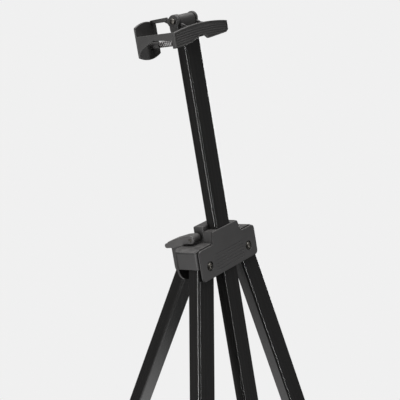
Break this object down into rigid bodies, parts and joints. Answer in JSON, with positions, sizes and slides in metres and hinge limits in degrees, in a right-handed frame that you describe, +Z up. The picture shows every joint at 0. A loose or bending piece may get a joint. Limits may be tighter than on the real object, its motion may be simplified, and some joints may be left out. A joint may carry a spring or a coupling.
{
  "type": "tripod field easel",
  "caption": "Folding tripod field easel with telescoping legs, a sliding tilted mast, a sprung canvas clamp on top and a canvas ledge below.",
  "frame": {"origin": "on the floor, under the middle of the whole easel", "axes": "+Z up, +Y to the rear leg, -Y to the painter and the canvas, +X to the right seen from the front"},
  "size_m": [0.6982, 0.6983, 1.3638],
  "materials": {
    "tube_black": "black anodised, satin",
    "hub_plastic": "moulded nylon, fine texture",
    "clamp_plastic": "moulded nylon, ribbed grip",
    "lever_plastic": "moulded nylon, satin",
    "black_rubber": "matte rubber",
    "dark_steel": "black zinc, glossy",
    "spring_steel": "bright drawn wire"
  },
  "bodies": {
    "hub": {"front_plate": "hub_plastic", "hub_body": "hub_plastic", "left_pivot_bolt": "dark_steel", "right_pivot_bolt": "dark_steel", "left_pivot_nut": "dark_steel", "right_pivot_nut": "dark_steel", "rear_pivot_bolt": "dark_steel", "rear_pivot_nut": "dark_steel"},
    "mast_lever": {"cam_lever": "lever_plastic", "cam_shaft": "dark_steel"},
    "mast_shoe": {"pressure_shoe": "hub_plastic"},
    "mast": {"mast_tube": "tube_black", "mast_bottom_plug": "hub_plastic", "clamp_body": "clamp_plastic", "clamp_pin": "dark_steel", "jaw_spring": "spring_steel"},
    "jaw": {"front_jaw": "clamp_plastic", "jaw_pad": "black_rubber", "jaw_loop": "clamp_plastic"},
    "ledge": {"canvas_ledge": "hub_plastic", "ledge_pad": "black_rubber"},
    "ledge_screw": {"ledge_knob": "lever_plastic"},
    "left_leg_upper": {"left_upper_tube": "tube_black", "left_top_plug": "hub_plastic", "left_lock_collar": "hub_plastic", "left_lock_pin": "dark_steel"},
    "left_leg_lower": {"left_lower_tube": "tube_black", "left_slide_bush": "hub_plastic", "left_foot": "black_rubber"},
    "left_leg_lock": {"left_lock_lever": "lever_plastic"},
    "right_leg_upper": {"right_upper_tube": "tube_black", "right_top_plug": "hub_plastic", "right_lock_collar": "hub_plastic", "right_lock_pin": "dark_steel"},
    "right_leg_lower": {"right_lower_tube": "tube_black", "right_slide_bush": "hub_plastic", "right_foot": "black_rubber"},
    "right_leg_lock": {"right_lock_lever": "lever_plastic"},
    "rear_leg_upper": {"rear_upper_tube": "tube_black", "rear_top_plug": "hub_plastic", "rear_lock_collar": "hub_plastic", "rear_lock_pin": "dark_steel"},
    "rear_leg_lower": {"rear_lower_tube": "tube_black", "rear_slide_bush": "hub_plastic", "rear_foot": "black_rubber"},
    "rear_leg_lock": {"rear_lock_lever": "lever_plastic"}
  },
  "joints": [
    {"name": "left_leg_fold", "type": "hinge", "parent": "hub", "child": "left_leg_upper", "pos_m": [-0.0377, -0.12215, 1.09655], "axis": [0, -0.9808, 0.1951], "range_deg": [0, 14.8]},
    {"name": "right_leg_fold", "type": "hinge", "parent": "hub", "child": "right_leg_upper", "pos_m": [0.0377, -0.12215, 1.09655], "axis": [0, 0.9808, -0.1951], "range_deg": [0, 14.8]},
    {"name": "rear_leg_fold", "type": "hinge", "parent": "hub", "child": "rear_leg_upper", "pos_m": [0, -0.08361, 1.08888], "axis": [-1, 0, 0], "range_deg": [0, 32.5]},
    {"name": "left_leg_extend", "type": "slide", "parent": "left_leg_upper", "child": "left_leg_lower", "axis": [0.2554, 0.1886, 0.9482], "range_m": [0, 0.46]},
    {"name": "right_leg_extend", "type": "slide", "parent": "right_leg_upper", "child": "right_leg_lower", "axis": [-0.2554, 0.1886, 0.9482], "range_m": [0, 0.46]},
    {"name": "rear_leg_extend", "type": "slide", "parent": "rear_leg_upper", "child": "rear_leg_lower", "axis": [0, -0.3624, 0.932], "range_m": [0, 0.49]},
    {"name": "left_lock_flip", "type": "hinge", "parent": "left_leg_upper", "child": "left_leg_lock", "pos_m": [-0.19403, -0.22317, 0.51335], "axis": [-0.9668, 0.0498, 0.2505], "range_deg": [0, 100]},
    {"name": "right_lock_flip", "type": "hinge", "parent": "right_leg_upper", "child": "right_leg_lock", "pos_m": [0.19403, -0.22317, 0.51335], "axis": [-0.9668, -0.0498, -0.2505], "range_deg": [0, 100]},
    {"name": "rear_lock_flip", "type": "hinge", "parent": "rear_leg_upper", "child": "rear_leg_lock", "pos_m": [0, 0.1519, 0.52382], "axis": [-1, 0, 0], "range_deg": [0, 100]},
    {"name": "mast_slide", "type": "slide", "parent": "hub", "child": "mast", "axis": [0, 0.1951, 0.9808], "range_m": [-0.15, 0.2]},
    {"name": "mast_lever_lift", "type": "hinge", "parent": "hub", "child": "mast_lever", "pos_m": [0, -0.10747, 1.1232], "axis": [1, 0, 0], "range_deg": [0, 95]},
    {"name": "mast_shoe_release", "type": "slide", "parent": "hub", "child": "mast_shoe", "axis": [0, 0.9808, -0.1951], "range_m": [0, 0.0006]},
    {"name": "jaw_open", "type": "hinge", "parent": "mast", "child": "jaw", "pos_m": [0, -0.07414, 1.35688], "axis": [-1, 0, 0], "range_deg": [0, 22], "stiffness_Nm_per_rad": 0.35, "springref_deg": -28.65, "deforming": ["jaw_spring"]},
    {"name": "ledge_slide", "type": "slide", "parent": "mast", "child": "ledge", "axis": [0, 0.1951, 0.9808], "range_m": [-0.1, 0.06]},
    {"name": "ledge_screw_turn", "type": "hinge", "parent": "ledge", "child": "ledge_screw", "pos_m": [0, -0.2051, 0.74467], "axis": [0, -0.9808, 0.1951], "continuous": true}
  ],
  "couplings": [
    {"joint": "mast_shoe_release", "follows": "mast_lever_lift", "m_per_rad": 0.00036}
  ]
}
